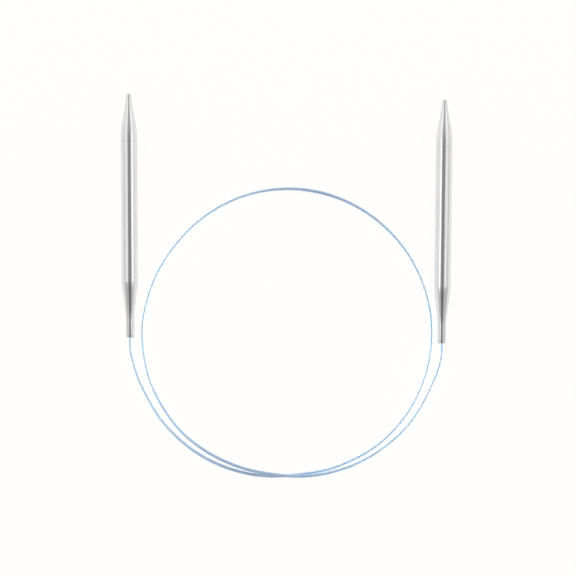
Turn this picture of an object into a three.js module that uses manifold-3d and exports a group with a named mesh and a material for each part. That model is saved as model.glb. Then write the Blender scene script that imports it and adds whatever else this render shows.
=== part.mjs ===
// A circular knitting needle: two hollow plated needles joined by one flexible cord, lying flat.
// Units are millimetres and +Z is up. Both needles lie along Y on the plane z = 0, points towards +Y.
// The origin is on that plane, below the middle of the box around the two needles.
import * as THREE from 'three';
import { mergeVertices } from 'three/addons/utils/BufferGeometryUtils.js';
import Module from 'manifold-3d';

// Needle, measured along its axis from the mouth, where the cord leaves it.
const NEEDLE_LENGTH = 132;
const SHAFT_RADIUS = 4.5;
const SHAFT_BORE_RADIUS = 4.0;
const TAIL_SEAM = 32;
const POINT_SEAM = 106;
const SPIGOT_LENGTH = 7;
const SPIGOT_RADIUS = 3.9;
const POINT_SHOULDER = 111.5;
const POINT_TAPER_END = 122.2;
const POINT_TAPER_RADIUS = 2.6;
const POINT_WAIST = 127.5;
const POINT_WAIST_RADIUS = 1.6;
const POINT_END_RADIUS = 1.45;
const POINT_END_DEPTH = 1.0;
const TAIL_SHOULDER = 29;
const NECK_END = 12;
const NECK_START = 1.0;
const NECK_RADIUS = 2.35;
const NECK_BORE_RADIUS = 1.75;
const TAIL_BORE_RADIUS = 3.3;

// Crimped sleeve around the cord, and the headed cord end that it holds.
const FERRULE_RADIUS = 1.7;
const FERRULE_LIP_RADIUS = 2.0;
const FERRULE_BORE_RADIUS = 0.9;
const FERRULE_LENGTH = 11;
const CORD_HEAD_RADIUS = 1.4;
const CORD_HEAD_LENGTH = 1.6;
const CORD_END_DEPTH = 12.8;

// Cord.
const CORD_RADIUS = 0.85;
const CORD_SIDES = 8;
const LIFT_PIVOT = 6;
const SEAM_GAP = 0.1;
const CORD_LOOP_STEPS = 80;
const CORD_LINK_STEPS = 4;
const ROUTE_DIVISIONS = 60;

// Where the two pivots come in the route's list of points, counted from either end.
const LIFT_POINT = 2;
const SWING_POINT = 3;

// Facets of the turned pieces. Each has a flat facet underneath, so a shaft rests on a real face.
const SHAFT_FACETS = 48;
const FERRULE_FACETS = 24;
const CURVE_STEPS = 4;
const AXIS_HEIGHT = SHAFT_RADIUS * Math.cos(Math.PI / SHAFT_FACETS);

// Where the needles lie: the mouth's centre, and the turn of the needle about Z in degrees.
const LEFT_NEEDLE = { name: 'left', x: -84.5, y: -64.4, turn: 0.35 };
const RIGHT_NEEDLE = { name: 'right', x: 83.7, y: -67.6, turn: -0.75 };

// The cord's route between the two swing pivots, as angle in degrees and radius about the middle of
// the loop, and height above the plane. It runs one and a half turns and crosses itself once.
const LOOP_CENTRE_Y = -61.5;
const LEFT_SWING_PIVOT = [-81.6, -82.2, 4.3];
const RIGHT_SWING_PIVOT = [80.35, -85.3, 4.3];
const LOOP_ROUTE = [
  [200, 83.6, 3.8],
  [215, 82.8, 2.1],
  [230, 81.8, 1.05],
  [245, 80.5, 0.85],
  [260, 79.0, 0.85],
  [275, 77.5, 0.85],
  [290, 77.8, 0.85],
  [310, 78.6, 0.85],
  [330, 78.8, 0.85],
  [350, 78.7, 0.85],
  [370, 78.5, 0.85],
  [390, 78.2, 0.85],
  [410, 78.0, 0.85],
  [430, 77.9, 0.85],
  [450, 77.7, 0.85],
  [470, 77.3, 0.85],
  [490, 76.8, 0.85],
  [510, 76.9, 0.85],
  [525, 77.5, 0.85],
  [540, 78.4, 0.85],
  [560, 78.7, 0.85],
  [580, 78.6, 0.85],
  [595, 78.0, 1.2],
  [610, 77.4, 2.1],
  [625, 77.3, 2.95],
  [640, 78.8, 2.95],
  [655, 80.3, 2.1],
  [670, 81.7, 1.3],
  [685, 82.9, 1.9],
];

const wasm = await Module();
wasm.setup();

const nickel = new THREE.MeshStandardMaterial({ color: 0xd9dadc, metalness: 1.0, roughness: 0.12 });
const satinNickel = new THREE.MeshStandardMaterial({ color: 0xbfc1c4, metalness: 1.0, roughness: 0.3 });
const nylon = new THREE.MeshStandardMaterial({ color: 0x9fc3dc, metalness: 0.0, roughness: 0.25 });

function toSolid(geometry) {
  const bare = geometry.clone();
  bare.deleteAttribute('normal');
  bare.deleteAttribute('uv');
  const merged = mergeVertices(bare, 1e-3);
  const mesh = new wasm.Mesh({
    numProp: 3,
    vertProperties: new Float32Array(merged.attributes.position.array),
    triVerts: new Uint32Array(merged.index.array),
  });
  return new wasm.Manifold(mesh);
}

function toGeometry(solid) {
  const mesh = solid.getMesh();
  const geometry = new THREE.BufferGeometry();
  geometry.setAttribute('position', new THREE.BufferAttribute(mesh.vertProperties, 3));
  geometry.setIndex(new THREE.BufferAttribute(mesh.triVerts, 1));
  geometry.computeVertexNormals();
  return geometry;
}

function makeMesh(name, geometry, material) {
  const mesh = new THREE.Mesh(geometry, material);
  mesh.name = name;
  return mesh;
}

// A turned piece about the needle's axis. The profile runs anticlockwise: up the outside.
function turned(profile, facets) {
  return new THREE.LatheGeometry(profile, facets, Math.PI / facets, 2 * Math.PI);
}

// The solid nose: a spigot inside the shaft, a soft shoulder, a cone that eases into a thin tip, and
// a blunt end.
function pointGeometry() {
  const endStart = NEEDLE_LENGTH - POINT_END_DEPTH;
  const path = new THREE.Path();
  path.moveTo(0, POINT_SEAM - SPIGOT_LENGTH);
  path.lineTo(SPIGOT_RADIUS, POINT_SEAM - SPIGOT_LENGTH);
  path.lineTo(SPIGOT_RADIUS, POINT_SEAM + SEAM_GAP);
  path.lineTo(SHAFT_RADIUS, POINT_SEAM + SEAM_GAP);
  path.lineTo(SHAFT_RADIUS, POINT_SHOULDER - 3.5);
  path.quadraticCurveTo(SHAFT_RADIUS, POINT_SHOULDER, SHAFT_RADIUS - 0.54, POINT_SHOULDER + 3.5);
  path.lineTo(POINT_TAPER_RADIUS, POINT_TAPER_END);
  path.quadraticCurveTo(POINT_WAIST_RADIUS, POINT_WAIST, POINT_END_RADIUS, endStart);
  path.quadraticCurveTo(POINT_END_RADIUS - 0.1, NEEDLE_LENGTH, 0, NEEDLE_LENGTH);
  return turned(path.getPoints(CURVE_STEPS), SHAFT_FACETS);
}

// The thin-walled tube that makes up most of the needle.
function shaftGeometry() {
  const profile = [
    new THREE.Vector2(SHAFT_BORE_RADIUS, TAIL_SEAM),
    new THREE.Vector2(SHAFT_RADIUS, TAIL_SEAM),
    new THREE.Vector2(SHAFT_RADIUS, POINT_SEAM),
    new THREE.Vector2(SHAFT_BORE_RADIUS, POINT_SEAM),
    new THREE.Vector2(SHAFT_BORE_RADIUS, TAIL_SEAM),
  ];
  return turned(profile, SHAFT_FACETS);
}

// The reducing tail: a neck that takes the ferrule, a cone, and a spigot inside the shaft.
function tailGeometry() {
  const seam = TAIL_SEAM - SEAM_GAP;
  const path = new THREE.Path();
  path.moveTo(NECK_BORE_RADIUS, NECK_START);
  path.lineTo(NECK_RADIUS - 0.15, NECK_START);
  path.lineTo(NECK_RADIUS, NECK_START + 0.3);
  path.lineTo(NECK_RADIUS, NECK_END - 2.5);
  path.quadraticCurveTo(NECK_RADIUS, NECK_END, NECK_RADIUS + 0.32, NECK_END + 2.5);
  path.lineTo(SHAFT_RADIUS - 0.32, TAIL_SHOULDER - 2.5);
  path.quadraticCurveTo(SHAFT_RADIUS, TAIL_SHOULDER, SHAFT_RADIUS, TAIL_SHOULDER + 2.5);
  path.lineTo(SHAFT_RADIUS, seam);
  path.lineTo(SPIGOT_RADIUS, seam);
  path.lineTo(SPIGOT_RADIUS, seam + SPIGOT_LENGTH);
  path.lineTo(TAIL_BORE_RADIUS, seam + SPIGOT_LENGTH);
  path.lineTo(TAIL_BORE_RADIUS, TAIL_SHOULDER - 1);
  path.lineTo(NECK_BORE_RADIUS, NECK_END + 3);
  path.lineTo(NECK_BORE_RADIUS, NECK_START);
  return turned(path.getPoints(CURVE_STEPS), SHAFT_FACETS);
}

// The crimped sleeve: a bush inside the neck, with a small rounded lip at the mouth.
function ferruleGeometry() {
  const lip = NECK_START - SEAM_GAP;
  const profile = [
    new THREE.Vector2(FERRULE_BORE_RADIUS, 0),
    new THREE.Vector2(FERRULE_LIP_RADIUS - 0.3, 0),
    new THREE.Vector2(FERRULE_LIP_RADIUS, 0.35),
    new THREE.Vector2(FERRULE_LIP_RADIUS, lip),
    new THREE.Vector2(FERRULE_RADIUS, lip),
    new THREE.Vector2(FERRULE_RADIUS, FERRULE_LENGTH),
    new THREE.Vector2(FERRULE_BORE_RADIUS, FERRULE_LENGTH),
    new THREE.Vector2(FERRULE_BORE_RADIUS, 0),
  ];
  return turned(profile, FERRULE_FACETS);
}

// The cord's own end: a straight round stub through the ferrule, with a wider head behind it.
function cordEndGeometry() {
  const headStart = FERRULE_LENGTH + 2 * SEAM_GAP;
  const outerEnd = CORD_RADIUS + SEAM_GAP - LIFT_PIVOT;
  const profile = [
    new THREE.Vector2(0, outerEnd),
    new THREE.Vector2(CORD_RADIUS, outerEnd),
    new THREE.Vector2(CORD_RADIUS, headStart),
    new THREE.Vector2(CORD_HEAD_RADIUS, headStart),
    new THREE.Vector2(CORD_HEAD_RADIUS, headStart + CORD_HEAD_LENGTH),
    new THREE.Vector2(0, headStart + CORD_HEAD_LENGTH),
  ];
  return turned(profile, FERRULE_FACETS);
}

// A stretch of the route between two distances along it.
class Stretch extends THREE.Curve {
  constructor(route, start, end) {
    super();
    this.route = route;
    this.start = start / route.getLength();
    this.end = end / route.getLength();
  }

  getPoint(t, target = new THREE.Vector3()) {
    return this.route.getPointAt(this.start + t * (this.end - this.start), target);
  }
}

function pointBehindMouth(needle, distance) {
  const turn = THREE.MathUtils.degToRad(needle.turn);
  const x = needle.x + distance * Math.sin(turn);
  const y = needle.y - distance * Math.cos(turn);
  return new THREE.Vector3(x, y, AXIS_HEIGHT);
}

// The whole centreline, from inside the left ferrule to inside the right one.
function cordRoute() {
  const points = [
    pointBehindMouth(LEFT_NEEDLE, -CORD_END_DEPTH),
    pointBehindMouth(LEFT_NEEDLE, 0),
    pointBehindMouth(LEFT_NEEDLE, LIFT_PIVOT),
    new THREE.Vector3(...LEFT_SWING_PIVOT),
  ];
  for (const [degrees, radius, height] of LOOP_ROUTE) {
    const angle = THREE.MathUtils.degToRad(degrees);
    const x = radius * Math.cos(angle);
    const y = LOOP_CENTRE_Y + radius * Math.sin(angle);
    points.push(new THREE.Vector3(x, y, height));
  }
  points.push(
    new THREE.Vector3(...RIGHT_SWING_PIVOT),
    pointBehindMouth(RIGHT_NEEDLE, LIFT_PIVOT),
    pointBehindMouth(RIGHT_NEEDLE, 0),
    pointBehindMouth(RIGHT_NEEDLE, -CORD_END_DEPTH),
  );
  const route = new THREE.CatmullRomCurve3(points, false, 'centripetal');
  route.arcLengthDivisions = ROUTE_DIVISIONS * (points.length - 1);
  return route;
}

function cordSection() {
  const section = new THREE.Shape();
  for (let side = 0; side < CORD_SIDES; side += 1) {
    const angle = (2 * Math.PI * (side + 0.5)) / CORD_SIDES;
    const x = CORD_RADIUS * Math.cos(angle);
    const y = CORD_RADIUS * Math.sin(angle);
    if (side === 0) {
      section.moveTo(x, y);
    } else {
      section.lineTo(x, y);
    }
  }
  section.closePath();
  return section;
}

// A length of cord with a round end centred on each of the given pivots, so it turns there freely.
function cordGeometry(route, start, end, steps, pivots) {
  const tube = new THREE.ExtrudeGeometry(cordSection(), {
    steps,
    bevelEnabled: false,
    extrudePath: new Stretch(route, start, end),
  });
  let solid = toSolid(tube);
  for (const pivot of pivots) {
    const ball = new THREE.SphereGeometry(CORD_RADIUS - 0.01, 2 * CORD_SIDES, CORD_SIDES);
    ball.translate(pivot.x, pivot.y, pivot.z);
    solid = solid.add(toSolid(ball));
  }
  return toGeometry(solid);
}

function makeCord() {
  const route = cordRoute();
  const lengths = route.getLengths();
  const lastPoint = route.points.length - 1;
  const leftLift = lengths[ROUTE_DIVISIONS * LIFT_POINT];
  const leftSwing = lengths[ROUTE_DIVISIONS * SWING_POINT];
  const rightSwing = lengths[ROUTE_DIVISIONS * (lastPoint - SWING_POINT)];
  const rightLift = lengths[ROUTE_DIVISIONS * (lastPoint - LIFT_POINT)];
  const clear = CORD_RADIUS + SEAM_GAP;

  const cord = new THREE.Group();
  const swingPivots = [route.points[SWING_POINT], route.points[lastPoint - SWING_POINT]];
  const loop = cordGeometry(route, leftSwing, rightSwing, CORD_LOOP_STEPS, swingPivots);
  const leftPivot = route.points[LIFT_POINT];
  const leftLink = cordGeometry(route, leftLift, leftSwing - clear, CORD_LINK_STEPS, [leftPivot]);
  const rightPivot = route.points[lastPoint - LIFT_POINT];
  const rightLink = cordGeometry(route, rightSwing + clear, rightLift, CORD_LINK_STEPS, [rightPivot]);
  cord.add(makeMesh('cord_loop', loop, nylon));
  cord.add(makeMesh('left_cord_link', leftLink, nylon));
  cord.add(makeMesh('right_cord_link', rightLink, nylon));
  return cord;
}

function makeNeedle(needle) {
  const group = new THREE.Group();
  group.add(makeMesh(`${needle.name}_point`, pointGeometry(), nickel));
  group.add(makeMesh(`${needle.name}_shaft`, shaftGeometry(), nickel));
  group.add(makeMesh(`${needle.name}_tail`, tailGeometry(), nickel));
  group.add(makeMesh(`${needle.name}_ferrule`, ferruleGeometry(), satinNickel));
  group.add(makeMesh(`${needle.name}_cord_end`, cordEndGeometry(), nylon));
  group.position.set(needle.x, needle.y, AXIS_HEIGHT);
  group.rotation.z = THREE.MathUtils.degToRad(needle.turn);
  return group;
}

const circularNeedle = new THREE.Group();
circularNeedle.add(makeNeedle(LEFT_NEEDLE));
circularNeedle.add(makeNeedle(RIGHT_NEEDLE));
circularNeedle.add(makeCord());

export default circularNeedle;
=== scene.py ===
"""A circular knitting needle on a white table: two polished, plated needles and one blue nylon cord.

Lengths are in metres and the frame is the CAD part's own: +Z up, both needles along Y.
"""
import math

import bpy
from mathutils import Matrix, Vector


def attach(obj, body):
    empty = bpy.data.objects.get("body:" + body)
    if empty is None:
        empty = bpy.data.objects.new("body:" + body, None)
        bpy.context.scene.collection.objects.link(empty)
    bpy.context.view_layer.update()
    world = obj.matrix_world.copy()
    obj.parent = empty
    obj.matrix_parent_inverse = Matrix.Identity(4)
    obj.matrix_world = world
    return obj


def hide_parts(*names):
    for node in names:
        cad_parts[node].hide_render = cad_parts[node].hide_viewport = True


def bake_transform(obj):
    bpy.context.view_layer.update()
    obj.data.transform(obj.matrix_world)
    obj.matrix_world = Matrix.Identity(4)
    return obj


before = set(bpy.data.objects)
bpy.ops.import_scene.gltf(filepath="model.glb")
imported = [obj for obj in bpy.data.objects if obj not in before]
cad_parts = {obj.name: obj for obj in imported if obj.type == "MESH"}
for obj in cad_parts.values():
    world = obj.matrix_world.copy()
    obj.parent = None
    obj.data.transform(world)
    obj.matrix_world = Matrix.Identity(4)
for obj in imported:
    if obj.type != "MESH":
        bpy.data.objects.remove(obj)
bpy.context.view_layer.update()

SIDES = ("left", "right")
MM = 0.001

# Needle, measured along its axis from the mouth, where the cord leaves it.
NEEDLE_LENGTH = 132.0 * MM
SHAFT_RADIUS = 4.5 * MM
SHAFT_BORE_RADIUS = 4.0 * MM
AXIS_HEIGHT = 4.49 * MM
TAIL_SEAM = 32.0 * MM
POINT_SEAM = 106.0 * MM
SEAM_GAP = 0.03 * MM
SEAM_CHAMFER = 0.05 * MM
SPIGOT_LENGTH = 7.0 * MM
SPIGOT_RADIUS = 3.9 * MM
POINT_SHOULDER = 111.5 * MM
POINT_SHOULDER_REACH = 3.5 * MM
POINT_SHOULDER_DROP = 0.54 * MM
POINT_TAPER_END = 122.2 * MM
POINT_TAPER_RADIUS = 2.6 * MM
POINT_WAIST = 127.5 * MM
POINT_WAIST_RADIUS = 1.6 * MM
POINT_END_RADIUS = 1.45 * MM
POINT_END_ROUND = 0.1 * MM
POINT_END_DEPTH = 1.0 * MM
TAIL_SHOULDER = 29.0 * MM
TAIL_BORE_RADIUS = 3.3 * MM
TAIL_BORE_START = 28.0 * MM
TAIL_BEND_REACH = 2.5 * MM
TAIL_BEND_DROP = 0.32 * MM
NECK_START = 1.0 * MM
NECK_END = 12.0 * MM
NECK_RADIUS = 2.35 * MM
NECK_ROUND = (0.35 * MM, 0.5 * MM)
NECK_BORE_RADIUS = 1.75 * MM
NECK_BORE_END = 15.0 * MM
FERRULE_RADIUS = 1.7 * MM
FERRULE_LIP_RADIUS = 2.0 * MM
FERRULE_LIP_ROUND = (0.45 * MM, 0.5 * MM)
FERRULE_BORE_RADIUS = 0.9 * MM
FERRULE_BORE_FLARE = (0.15 * MM, 0.2 * MM)
FERRULE_LENGTH = 11.0 * MM

# Where each needle lies: the mouth's centre, and the needle's turn about Z in degrees.
MOUTHS = {
    "left": (-84.5 * MM, -64.4 * MM, 0.35),
    "right": (83.7 * MM, -67.6 * MM, -0.75),
}

# Cord. Its head is the wider end behind the ferrule.
CORD_RADIUS = 0.85 * MM
CORD_END_INSIDE = 12.8 * MM
CORD_HEAD_START = 11.2 * MM
CORD_HEAD_RADIUS = 1.4 * MM

# The cord's bends near each needle, as distances along it from the mouth. Below zero is inside.
LIFT_PIVOT = 6.0 * MM
LIFT_FLEX_START = -0.5 * MM
LIFT_FLEX_END = 12.0 * MM
SWING_FLEX_END = 24.0 * MM
FLEX_MARGIN = 0.6 * MM

# The route between the swing pivots: angle in degrees about the middle of the loop, then radius and
# height above the table in millimetres. The two swing pivots are X, Y and height in millimetres.
LOOP_CENTRE_Y = -61.5
LEFT_SWING_PIVOT = (-81.6, -82.2, 4.3)
RIGHT_SWING_PIVOT = (80.35, -85.3, 4.3)
LOOP_ROUTE = (
    (200, 83.6, 3.8),
    (215, 82.8, 2.1),
    (230, 81.8, 1.05),
    (245, 80.5, 0.85),
    (260, 79.0, 0.85),
    (275, 77.5, 0.85),
    (290, 77.8, 0.85),
    (310, 78.6, 0.85),
    (330, 78.8, 0.85),
    (350, 78.7, 0.85),
    (370, 78.5, 0.85),
    (390, 78.2, 0.85),
    (410, 78.0, 0.85),
    (430, 77.9, 0.85),
    (450, 77.7, 0.85),
    (470, 77.3, 0.85),
    (490, 76.8, 0.85),
    (510, 76.9, 0.85),
    (525, 77.5, 0.85),
    (540, 78.4, 0.85),
    (560, 78.7, 0.85),
    (580, 78.6, 0.85),
    (595, 78.0, 1.2),
    (610, 77.4, 2.1),
    (625, 77.3, 2.95),
    (640, 78.8, 2.95),
    (655, 80.3, 2.1),
    (670, 81.7, 1.3),
    (685, 82.9, 1.9),
)

# Camera, straight above the table.
CAMERA_X = 0.73 * MM
CAMERA_Y = -37.6 * MM
CAMERA_HEIGHT = 0.8685
CAMERA_LENS = 100.0
CAMERA_SENSOR = 36.0
CAMERA_CLIP = (0.01, 100.0)

# Studio lights on the right side. The left side mirrors the three long ones, and a dim gap stays
# overhead. A size is the width across and the length along Y. The two low fills face each other along
# one line, turned from X by FILL_TURN. Angles are in degrees.
SOFTBOX_PLACE = (0.387, 0.0, 0.40)
SOFTBOX_SIZE = (0.44, 1.8)
SOFTBOX_BRIGHTNESS = 0.37
POINT_BOX_PLACE = (0.397, 0.43, 0.41)
POINT_BOX_SIZE = (0.45, 1.0)
POINT_BOX_BRIGHTNESS = 0.25
STRIP_PLACE = (0.302, 0.0, 0.40)
STRIP_SIZE = (0.12, 1.8)
STRIP_BRIGHTNESS = 0.022
STRIP_SPREAD = 30.0
STRIP_AIM = 0.085
FILL_STRENGTH = 11.0
FILL_COLOUR = (1.0, 0.74, 0.42)
FILL_WIDTH = 20.0
FILL_ELEVATION = 2.0
FILL_TURN = -13.0

# The room. Its tone goes by a direction's Z as a unit vector: SKY_HORIZON up to SKY_LOW, and from
# SKY_HIGH on it is SKY_OVERHEAD plus SKY_SLOPE times the direction's Y.
SKY_LOW = 0.12
SKY_HIGH = 0.58
SKY_HORIZON = 0.95
SKY_OVERHEAD = 0.30
SKY_SLOPE = 0.4

# The table.
FLOOR_REACH = 4.0
FLOOR_DROP = 0.05 * MM
FLOOR_GREY = 0.12
FLOOR_GLOW = 0.88

# How finely the pieces are divided.
TURNED_SIDES = 96
CURVE_STEPS = 10
CONE_SHARES = (0.33, 0.67, 1.0)
SHARP_ANGLE = 30.0
CORD_SIDES = 24
CORD_STEP = 1.0 * MM
FLEX_STEP = 0.25 * MM
ROUTE_DIVISIONS = 60

# Noise mostly lies between these two values.
NOISE_LOW = 0.3
NOISE_HIGH = 0.7
BUMP_STRENGTH = 0.5


# ---------------------------------------------------------------- camera


def make_camera():
    """The camera looks straight down."""
    data = bpy.data.cameras.new("camera")
    data.lens = CAMERA_LENS
    data.sensor_width = CAMERA_SENSOR
    data.clip_start, data.clip_end = CAMERA_CLIP
    camera = bpy.data.objects.new("camera", data)
    camera.location = (CAMERA_X, CAMERA_Y, CAMERA_HEIGHT)
    bpy.context.collection.objects.link(camera)
    bpy.context.scene.camera = camera


# ---------------------------------------------------------------- mesh helpers


def make_object(name, rings, u_values, v_values, material):
    """A smooth surface through rings of points. A ring of one point closes the surface there.

    u_values and v_values are the surface's own coordinates, in millimetres, round and along it.
    """
    sides = max(len(ring) for ring in rings)
    verts = []
    starts = []
    for ring in rings:
        starts.append(len(verts))
        verts.extend(ring)
    faces = []
    uvs = []
    for row in range(len(rings) - 1):
        near, far = starts[row], starts[row + 1]
        near_pole = len(rings[row]) == 1
        far_pole = len(rings[row + 1]) == 1
        v0, v1 = v_values[row], v_values[row + 1]
        for side in range(sides):
            after = (side + 1) % sides
            u0, u1 = u_values[side], u_values[side + 1]
            if near_pole:
                faces.append((near, far + after, far + side))
                uvs.extend(((u0, v0), (u1, v1), (u0, v1)))
            elif far_pole:
                faces.append((near + side, near + after, far))
                uvs.extend(((u0, v0), (u1, v0), (u0, v1)))
            else:
                faces.append((near + side, near + after, far + after, far + side))
                uvs.extend(((u0, v0), (u1, v0), (u1, v1), (u0, v1)))
    mesh = bpy.data.meshes.new(name)
    mesh.from_pydata(verts, [], faces)
    layer = mesh.uv_layers.new(name="surface")
    for loop_index, uv in enumerate(uvs):
        layer.data[loop_index].uv = uv
    mesh.polygons.foreach_set("use_smooth", [True] * len(mesh.polygons))
    mesh.set_sharp_from_angle(angle=math.radians(SHARP_ANGLE))
    mesh.materials.append(material)
    piece = bpy.data.objects.new(name, mesh)
    bpy.context.collection.objects.link(piece)
    return piece


def turned(name, profile, place, material):
    """A piece turned about the needle's axis, from (radius, distance along the axis) pairs.

    Round every piece, the surface's own coordinate is measured at the shaft's radius.
    """
    rings = []
    for radius, along in profile:
        if radius == 0:
            rings.append([place @ Vector((0, along, 0))])
            continue
        ring = []
        for side in range(TURNED_SIDES):
            angle = 2 * math.pi * side / TURNED_SIDES
            ring.append(place @ Vector((radius * math.sin(angle), along, radius * math.cos(angle))))
        rings.append(ring)
    way_round = 2 * math.pi * SHAFT_RADIUS / MM
    u_values = [way_round * side / TURNED_SIDES for side in range(TURNED_SIDES + 1)]
    v_values = [0.0]
    for (r0, s0), (r1, s1) in zip(profile, profile[1:]):
        v_values.append(v_values[-1] + math.hypot(r1 - r0, s1 - s0) / MM)
    return make_object(name, rings, u_values, v_values, material)


def curve_through(start, bend, end):
    """Points on a quadratic curve, after its start and up to its end."""
    points = []
    for step in range(1, CURVE_STEPS + 1):
        t = step / CURVE_STEPS
        weights = ((1 - t) ** 2, 2 * t * (1 - t), t ** 2)
        points.append(tuple(sum(w * p[i] for w, p in zip(weights, (start, bend, end))) for i in (0, 1)))
    return points


def cone_between(start, end):
    """Points on a straight flank, after its start and up to its end."""
    return [tuple(a + (b - a) * share for a, b in zip(start, end)) for share in CONE_SHARES]


# ---------------------------------------------------------------- cord route


def needle_place(side):
    """The matrix that carries a needle's own axis, along +Y from its mouth, to where it lies."""
    x, y, degrees = MOUTHS[side]
    return Matrix.Translation((x, y, AXIS_HEIGHT)) @ Matrix.Rotation(math.radians(degrees), 4, "Z")


def route_points():
    """The cord's chosen points, from inside the left ferrule to inside the right one."""
    left, right = needle_place("left"), needle_place("right")
    points = [left @ Vector((0, distance, 0)) for distance in (CORD_END_INSIDE, 0, -LIFT_PIVOT)]
    points.append(Vector(LEFT_SWING_PIVOT) * MM)
    for degrees, radius, height in LOOP_ROUTE:
        angle = math.radians(degrees)
        x = radius * math.cos(angle)
        y = LOOP_CENTRE_Y + radius * math.sin(angle)
        points.append(Vector((x, y, height)) * MM)
    points.append(Vector(RIGHT_SWING_PIVOT) * MM)
    points.extend(right @ Vector((0, distance, 0)) for distance in (-LIFT_PIVOT, 0, CORD_END_INSIDE))
    return points


def spline_span(p0, p1, p2, p3):
    """Points of a centripetal Catmull-Rom curve from p1 up to, but not at, p2."""
    t01 = math.sqrt((p1 - p0).length)
    t12 = math.sqrt((p2 - p1).length)
    t23 = math.sqrt((p3 - p2).length)
    m1 = ((p1 - p0) / t01 - (p2 - p0) / (t01 + t12) + (p2 - p1) / t12) * t12
    m2 = ((p2 - p1) / t12 - (p3 - p1) / (t12 + t23) + (p3 - p2) / t23) * t12
    points = []
    for step in range(ROUTE_DIVISIONS):
        t = step / ROUTE_DIVISIONS
        cubic = 2 * p1 - 2 * p2 + m1 + m2
        square = -3 * p1 + 3 * p2 - 2 * m1 - m2
        points.append(p1 + m1 * t + square * t ** 2 + cubic * t ** 3)
    return points


class Route:
    """The cord's centreline, read by distance from the left mouth."""

    def __init__(self):
        chosen = route_points()
        padded = [2 * chosen[0] - chosen[1], *chosen, 2 * chosen[-1] - chosen[-2]]
        self.points = []
        for i in range(1, len(padded) - 2):
            self.points.extend(spline_span(*padded[i - 1:i + 3]))
        self.points.append(chosen[-1])
        self.distances = [-CORD_END_INSIDE]
        for before, after in zip(self.points, self.points[1:]):
            self.distances.append(self.distances[-1] + (after - before).length)
        self.length = self.distances[-1] - CORD_END_INSIDE

    def at(self, distance):
        """The point at one distance from the left mouth."""
        low, high = 0, len(self.distances) - 1
        while high - low > 1:
            middle = (low + high) // 2
            if self.distances[middle] <= distance:
                low = middle
            else:
                high = middle
        share = (distance - self.distances[low]) / (self.distances[high] - self.distances[low])
        return self.points[low].lerp(self.points[high], share)

    def between(self, start, end, step):
        """Evenly spaced points from one distance to another."""
        count = max(2, round((end - start) / step))
        return [self.at(start + (end - start) * i / count) for i in range(count + 1)]


def tube_rings(points):
    """Round sections along the points, carried along without twist."""
    rings = []
    across = Vector((0, 0, 1))
    for i, point in enumerate(points):
        tangent = (points[min(i + 1, len(points) - 1)] - points[max(i - 1, 0)]).normalized()
        across = (across - tangent * across.dot(tangent)).normalized()
        beside = tangent.cross(across)
        ring = []
        for side in range(CORD_SIDES):
            angle = 2 * math.pi * side / CORD_SIDES
            ring.append(point + CORD_RADIUS * (math.cos(angle) * across + math.sin(angle) * beside))
        rings.append(ring)
    return rings


def make_tube(name, points, material):
    """A length of cord along the points, open at both ends where the next length carries on."""
    way_round = 2 * math.pi * CORD_RADIUS / MM
    u_values = [way_round * side / CORD_SIDES for side in range(CORD_SIDES + 1)]
    v_values = [0.0]
    for before, after in zip(points, points[1:]):
        v_values.append(v_values[-1] + (after - before).length / MM)
    return make_object(name, tube_rings(points), u_values, v_values, material)


# ---------------------------------------------------------------- materials


def new_material(name):
    """A new material, with its nodes, its links and its main shader."""
    material = bpy.data.materials.new(name)
    material.use_nodes = True
    nodes = material.node_tree.nodes
    return material, nodes, material.node_tree.links, nodes["Principled BSDF"]


def surface_noise(nodes, links, scale, detail):
    """Noise on the surface's own coordinates. scale is its marks per mm: round the piece, then along it."""
    coordinates = nodes.new("ShaderNodeTexCoord")
    mapping = nodes.new("ShaderNodeMapping")
    mapping.inputs["Scale"].default_value = (scale[0], scale[1], 1.0)
    noise = nodes.new("ShaderNodeTexNoise")
    noise.inputs["Scale"].default_value = 1.0
    noise.inputs["Detail"].default_value = detail
    links.new(coordinates.outputs["UV"], mapping.inputs["Vector"])
    links.new(mapping.outputs["Vector"], noise.inputs["Vector"])
    return noise.outputs["Fac"]


def spread(nodes, links, value, low, high):
    """Noise spread over low to high."""
    node = nodes.new("ShaderNodeMapRange")
    node.inputs["From Min"].default_value = NOISE_LOW
    node.inputs["From Max"].default_value = NOISE_HIGH
    node.inputs["To Min"].default_value = low
    node.inputs["To Max"].default_value = high
    links.new(value, node.inputs["Value"])
    return node.outputs["Result"]


def colour_between(nodes, links, value, low, high):
    """Noise turned into a colour from low to high."""
    ramp = nodes.new("ShaderNodeValToRGB")
    ramp.color_ramp.elements[0].position = NOISE_LOW
    ramp.color_ramp.elements[0].color = (*low, 1.0)
    ramp.color_ramp.elements[1].position = NOISE_HIGH
    ramp.color_ramp.elements[1].color = (*high, 1.0)
    links.new(value, ramp.inputs["Fac"])
    return ramp.outputs["Color"]


def add_bump(nodes, links, shader, height, depth):
    """Fine relief from noise. depth is in metres."""
    bump = nodes.new("ShaderNodeBump")
    bump.inputs["Strength"].default_value = BUMP_STRENGTH
    bump.inputs["Distance"].default_value = depth
    links.new(height, bump.inputs["Height"])
    links.new(bump.outputs["Normal"], shader.inputs["Normal"])


def polished_nickel():
    """Bright plate over a turned tube: fine lines round it and soft rub marks along it."""
    material, nodes, links, shader = new_material("polished_nickel")
    shader.inputs["Metallic"].default_value = 1.0
    lines = surface_noise(nodes, links, (0.05, 12.0), 3.0)
    rubbed = surface_noise(nodes, links, (1.2, 0.06), 4.0)
    tone = colour_between(nodes, links, rubbed, (0.73, 0.73, 0.74), (0.81, 0.81, 0.82))
    links.new(tone, shader.inputs["Base Color"])
    links.new(spread(nodes, links, rubbed, 0.05, 0.11), shader.inputs["Roughness"])
    add_bump(nodes, links, shader, lines, 0.0004 * MM)
    return material


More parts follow.
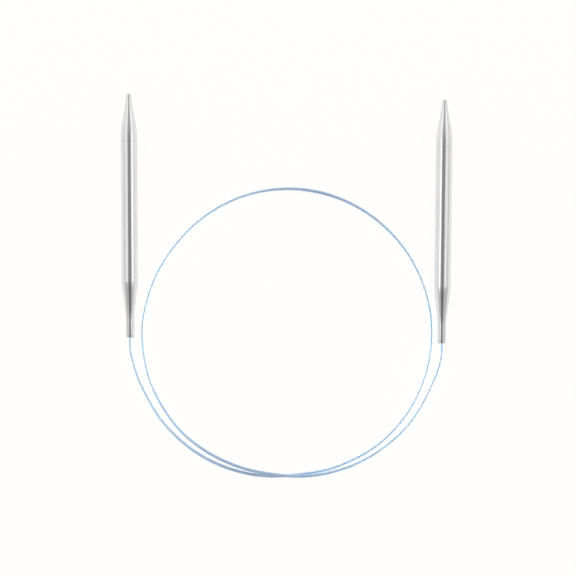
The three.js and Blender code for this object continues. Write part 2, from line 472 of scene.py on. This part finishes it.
def satin_nickel():
    """The crimped sleeve: the same plate, duller and pressed, with marks along it."""
    material, nodes, links, shader = new_material("satin_nickel")
    shader.inputs["Metallic"].default_value = 1.0
    marks = surface_noise(nodes, links, (3.0, 0.4), 4.0)
    tone = colour_between(nodes, links, marks, (0.60, 0.60, 0.61), (0.72, 0.72, 0.73))
    links.new(tone, shader.inputs["Base Color"])
    links.new(spread(nodes, links, marks, 0.2, 0.34), shader.inputs["Roughness"])
    add_bump(nodes, links, shader, marks, 0.004 * MM)
    return material


def blue_nylon():
    """Extruded cord, glossy and a little translucent, with faint streaks along it."""
    material, nodes, links, shader = new_material("blue_nylon")
    streaks = surface_noise(nodes, links, (2.4, 0.03), 3.0)
    cloud = surface_noise(nodes, links, (0.02, 0.05), 2.0)
    tone = colour_between(nodes, links, cloud, (0.32, 0.46, 0.67), (0.36, 0.49, 0.70))
    links.new(tone, shader.inputs["Base Color"])
    links.new(spread(nodes, links, streaks, 0.14, 0.24), shader.inputs["Roughness"])
    shader.inputs["IOR"].default_value = 1.53
    shader.inputs["Subsurface Weight"].default_value = 1.0
    shader.inputs["Subsurface Radius"].default_value = (0.6, 0.9, 1.2)
    shader.inputs["Subsurface Scale"].default_value = 0.8 * MM
    shader.inputs["Transmission Weight"].default_value = 0.05
    add_bump(nodes, links, shader, streaks, 0.01 * MM)
    return material


# ---------------------------------------------------------------- cord pieces


def make_cord(route, nylon):
    """The loop on the root body, a length of cord over each needle's lift and swing bends, and the two
    ends.
    """
    loop_path = route.between(SWING_FLEX_END, route.length - SWING_FLEX_END, CORD_STEP)
    loop = make_tube("cord", loop_path, nylon)
    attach(loop, "cord")
    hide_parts("cord_loop")
    for side in SIDES:
        lift = make_flex(route, side, LIFT_FLEX_START, LIFT_FLEX_END, "lift", nylon)
        flex_ends(route, side, 0, LIFT_FLEX_END)
        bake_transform(lift)
        swing = make_flex(route, side, LIFT_FLEX_END, SWING_FLEX_END, "swing", nylon)
        flex_ends(route, side, LIFT_FLEX_END, SWING_FLEX_END)
        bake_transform(swing)
        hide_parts(f"{side}_cord_link")
        end = turned(f"{side}_cord_end_finished", cord_end_profile(), needle_place(side), nylon)
        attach(end, f"{side}_stub")
        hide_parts(f"{side}_cord_end")
    route.at(0)


def from_mouth(route, side, distance):
    """A distance from one needle's mouth, as a distance from the left mouth."""
    if side == "left":
        return distance
    return route.length - distance


def flex_ends(route, side, near, far):
    """Two points on the cord, a little inside the ends of the length from near to far."""
    return (
        route.at(from_mouth(route, side, near + FLEX_MARGIN)),
        route.at(from_mouth(route, side, far - FLEX_MARGIN)),
    )


def make_flex(route, side, near, far, hinge, nylon):
    """A length of cord, from near to far along it from one needle's mouth."""
    start = from_mouth(route, side, near)
    end = from_mouth(route, side, far)
    points = route.between(min(start, end), max(start, end), FLEX_STEP)
    return make_tube(f"{side}_cord_{hinge}_bend", points, nylon)


# ---------------------------------------------------------------- needle pieces


def point_profile():
    """The nose: a spigot, a chamfered seam, a shoulder, a cone, a thin tip and a blunt end."""
    seam = POINT_SEAM + SEAM_GAP
    shoulder = (SHAFT_RADIUS, POINT_SHOULDER - POINT_SHOULDER_REACH)
    cone = (SHAFT_RADIUS - POINT_SHOULDER_DROP, POINT_SHOULDER + POINT_SHOULDER_REACH)
    taper = (POINT_TAPER_RADIUS, POINT_TAPER_END)
    end = (POINT_END_RADIUS, NEEDLE_LENGTH - POINT_END_DEPTH)
    tip = (0.0, NEEDLE_LENGTH)
    profile = [
        (0.0, seam - SPIGOT_LENGTH),
        (SPIGOT_RADIUS, seam - SPIGOT_LENGTH),
        (SPIGOT_RADIUS, seam),
        (SHAFT_RADIUS - SEAM_CHAMFER, seam),
        (SHAFT_RADIUS, seam + SEAM_CHAMFER),
        shoulder,
    ]
    profile += curve_through(shoulder, (SHAFT_RADIUS, POINT_SHOULDER), cone)
    profile += cone_between(cone, taper)
    profile += curve_through(taper, (POINT_WAIST_RADIUS, POINT_WAIST), end)
    profile += curve_through(end, (POINT_END_RADIUS - POINT_END_ROUND, NEEDLE_LENGTH), tip)
    return profile


def shaft_profile():
    """The tube, with a small chamfer at each seam."""
    return [
        (SHAFT_BORE_RADIUS, TAIL_SEAM),
        (SHAFT_RADIUS - SEAM_CHAMFER, TAIL_SEAM),
        (SHAFT_RADIUS, TAIL_SEAM + SEAM_CHAMFER),
        (SHAFT_RADIUS, POINT_SEAM - SEAM_CHAMFER),
        (SHAFT_RADIUS - SEAM_CHAMFER, POINT_SEAM),
        (SHAFT_BORE_RADIUS, POINT_SEAM),
        (SHAFT_BORE_RADIUS, TAIL_SEAM),
    ]


def tail_profile():
    """The neck, the cone and the spigot, bored right through."""
    seam = TAIL_SEAM - SEAM_GAP
    mouth = (NECK_RADIUS - NECK_ROUND[0], NECK_START)
    rounded = (NECK_RADIUS, NECK_START + NECK_ROUND[1])
    neck = (NECK_RADIUS, NECK_END - TAIL_BEND_REACH)
    cone_start = (NECK_RADIUS + TAIL_BEND_DROP, NECK_END + TAIL_BEND_REACH)
    cone_end = (SHAFT_RADIUS - TAIL_BEND_DROP, TAIL_SHOULDER - TAIL_BEND_REACH)
    shoulder = (SHAFT_RADIUS, TAIL_SHOULDER + TAIL_BEND_REACH)
    profile = [(NECK_BORE_RADIUS, NECK_START), mouth]
    profile += curve_through(mouth, (NECK_RADIUS, NECK_START), rounded)
    profile += [neck]
    profile += curve_through(neck, (NECK_RADIUS, NECK_END), cone_start)
    profile += cone_between(cone_start, cone_end)
    profile += curve_through(cone_end, (SHAFT_RADIUS, TAIL_SHOULDER), shoulder)
    profile += [
        (SHAFT_RADIUS, seam - SEAM_CHAMFER),
        (SHAFT_RADIUS - SEAM_CHAMFER, seam),
        (SPIGOT_RADIUS, seam),
        (SPIGOT_RADIUS, seam + SPIGOT_LENGTH),
        (TAIL_BORE_RADIUS, seam + SPIGOT_LENGTH),
        (TAIL_BORE_RADIUS, TAIL_BORE_START),
        (NECK_BORE_RADIUS, NECK_BORE_END),
        (NECK_BORE_RADIUS, NECK_START),
    ]
    return profile


def ferrule_profile():
    """The crimped sleeve: a rounded lip at the mouth and a bush inside the neck."""
    lip = NECK_START - SEAM_GAP
    flare = (FERRULE_BORE_RADIUS, FERRULE_BORE_FLARE[1])
    flare_mouth = (FERRULE_BORE_RADIUS + FERRULE_BORE_FLARE[0], 0.0)
    front = (FERRULE_LIP_RADIUS - FERRULE_LIP_ROUND[0], 0.0)
    side = (FERRULE_LIP_RADIUS, FERRULE_LIP_ROUND[1])
    profile = [flare, flare_mouth, front]
    profile += curve_through(front, (FERRULE_LIP_RADIUS, 0.0), side)
    profile += [
        (FERRULE_LIP_RADIUS, lip),
        (FERRULE_RADIUS, lip),
        (FERRULE_RADIUS, FERRULE_LENGTH),
        (FERRULE_BORE_RADIUS, FERRULE_LENGTH),
        flare,
    ]
    return profile


def cord_end_profile():
    """The end of the cord inside the ferrule, with its wider head behind it."""
    return [
        (CORD_RADIUS, -LIFT_FLEX_START),
        (CORD_RADIUS, CORD_HEAD_START),
        (CORD_HEAD_RADIUS, CORD_HEAD_START),
        (CORD_HEAD_RADIUS, CORD_END_INSIDE),
        (0.0, CORD_END_INSIDE),
    ]


def make_needle(side, nickel, satin):
    """One needle's four metal pieces. All ride on the needle's own body."""
    place = needle_place(side)
    recipes = (
        ("point", point_profile(), nickel, "plated_metal"),
        ("shaft", shaft_profile(), nickel, "plated_metal"),
        ("tail", tail_profile(), nickel, "plated_metal"),
        ("ferrule", ferrule_profile(), satin, "ferrule_metal"),
    )
    for part, profile, material, slot in recipes:
        piece = turned(f"{side}_{part}_finished", profile, place, material)
        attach(piece, f"{side}_needle")
        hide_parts(f"{side}_{part}")


# ---------------------------------------------------------------- studio


def make_floor():
    """A wide white table. Most of its white is its own glow, so the shadows on it stay faint."""
    mesh = bpy.data.meshes.new("floor")
    turns = ((-1, -1), (1, -1), (1, 1), (-1, 1))
    corners = [(x * FLOOR_REACH, y * FLOOR_REACH, 0.0) for x, y in turns]
    mesh.from_pydata(corners, [], [(0, 1, 2, 3)])
    floor = bpy.data.objects.new("floor", mesh)
    floor.location.z = -FLOOR_DROP
    bpy.context.collection.objects.link(floor)
    material, _, _, shader = new_material("white_table")
    shader.inputs["Base Color"].default_value = (FLOOR_GREY, FLOOR_GREY, FLOOR_GREY, 1.0)
    shader.inputs["Roughness"].default_value = 0.9
    shader.inputs["Specular IOR Level"].default_value = 0.0
    shader.inputs["Emission Color"].default_value = (1.0, 1.0, 1.0, 1.0)
    shader.inputs["Emission Strength"].default_value = FLOOR_GLOW
    mesh.materials.append(material)


def mirrored(side, place):
    """A place on the right side, or its mirror image on the left, where side is -1."""
    return (side * place[0], *place[1:])


def add_area_light(name, place, size, brightness, aim=0.0):
    """A long light over one side of the table, along Y, turned to face x = aim on the table."""
    data = bpy.data.lights.new(name, "AREA")
    data.shape = "RECTANGLE"
    data.size, data.size_y = size
    data.energy = brightness * math.pi * size[0] * size[1]
    lamp = bpy.data.objects.new(name, data)
    lamp.location = place
    lamp.rotation_euler = (0.0, math.atan2(place[0] - aim, place[2]), 0.0)
    lamp.visible_camera = False
    bpy.context.collection.objects.link(lamp)
    return data


def add_fill(name, side):
    """A low warm light with no shadow and no highlight. It lifts the cord where that runs along Y."""
    data = bpy.data.lights.new(name, "SUN")
    data.energy = FILL_STRENGTH
    data.color = FILL_COLOUR
    data.angle = math.radians(FILL_WIDTH)
    data.use_shadow = False
    fill = bpy.data.objects.new(name, data)
    fill.rotation_euler = (0.0, side * math.radians(90 - FILL_ELEVATION), math.radians(FILL_TURN))
    fill.visible_glossy = False
    bpy.context.collection.objects.link(fill)


def make_lights():
    """On each side, a softbox, one just behind it over the points' half of the table, a strip and a fill.

    The strip faces the far needle.
    """
    for name, side in (("left", -1), ("right", 1)):
        place = mirrored(side, SOFTBOX_PLACE)
        add_area_light(f"{name}_softbox", place, SOFTBOX_SIZE, SOFTBOX_BRIGHTNESS)
        place = mirrored(side, POINT_BOX_PLACE)
        add_area_light(f"{name}_point_box", place, POINT_BOX_SIZE, POINT_BOX_BRIGHTNESS)
        place = mirrored(side, STRIP_PLACE)
        strip_aim = -side * STRIP_AIM
        strip = add_area_light(f"{name}_strip", place, STRIP_SIZE, STRIP_BRIGHTNESS, strip_aim)
        strip.spread = math.radians(STRIP_SPREAD)
        add_fill(f"{name}_fill", side)


def make_world():
    """A plain room: white round the horizon and dimmer overhead, a little brighter towards +Y."""
    world = bpy.data.worlds.new("studio")
    world.use_nodes = True
    nodes = world.node_tree.nodes
    links = world.node_tree.links
    coordinates = nodes.new("ShaderNodeTexCoord")
    parts = nodes.new("ShaderNodeSeparateXYZ")
    links.new(coordinates.outputs["Generated"], parts.inputs["Vector"])
    overhead = nodes.new("ShaderNodeMath")
    overhead.operation = "MULTIPLY_ADD"
    overhead.inputs[1].default_value = SKY_SLOPE
    overhead.inputs[2].default_value = SKY_OVERHEAD
    overhead.use_clamp = True
    links.new(parts.outputs["Y"], overhead.inputs[0])
    rising = nodes.new("ShaderNodeMapRange")
    rising.interpolation_type = "SMOOTHSTEP"
    rising.inputs["From Min"].default_value = SKY_LOW
    rising.inputs["From Max"].default_value = SKY_HIGH
    rising.inputs["To Min"].default_value = SKY_HORIZON
    links.new(parts.outputs["Z"], rising.inputs["Value"])
    links.new(overhead.outputs["Value"], rising.inputs["To Max"])
    background = nodes["Background"]
    links.new(rising.outputs["Result"], background.inputs["Color"])
    background.inputs["Strength"].default_value = 1.0
    bpy.context.scene.world = world


def make_view():
    """Plain colours, with no film look."""
    view = bpy.context.scene.view_settings
    view.view_transform = "Standard"
    view.look = "None"
    view.exposure = 0.0
    view.gamma = 1.0


make_camera()
cord_route = Route()
blue = blue_nylon()
make_cord(cord_route, blue)
plate = polished_nickel()
sleeve = satin_nickel()
for needle_side in SIDES:
    make_needle(needle_side, plate, sleeve)
make_floor()
make_lights()
make_world()
make_view()
